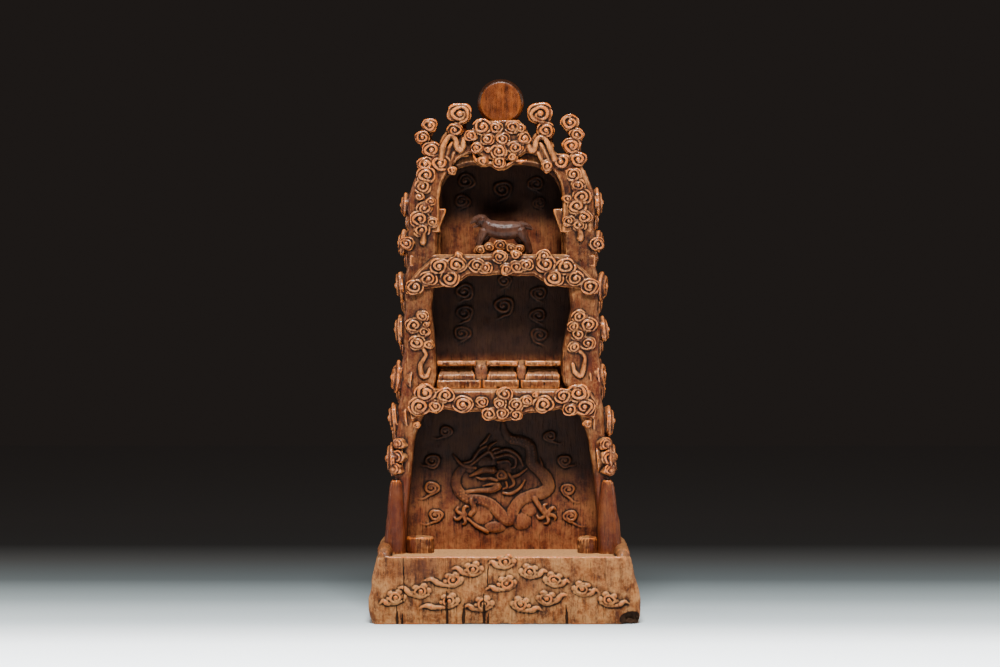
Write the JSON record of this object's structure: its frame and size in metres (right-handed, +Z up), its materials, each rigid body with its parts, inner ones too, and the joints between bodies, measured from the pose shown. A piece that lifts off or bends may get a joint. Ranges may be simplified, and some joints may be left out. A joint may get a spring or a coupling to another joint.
{
  "type": "wooden shrine",
  "caption": "Tall altar shrine carved from one block of hardwood, with open niches framed by curling clouds, a small beast, a coiled dragon and a plain sun disc on top",
  "frame": {"origin": "middle of the underside of the plinth", "axes": "+Z up; -Y is the front, which the niches open to; +X to the viewer's right"},
  "size_m": [0.211, 0.0989, 0.4233],
  "materials": {
    "wood": "carved, waxed by hand, worn bright on the high points and dusty in the hollows"
  },
  "bodies": {
    "root": {"shrine": "wood"}
  },
  "joints": []
}
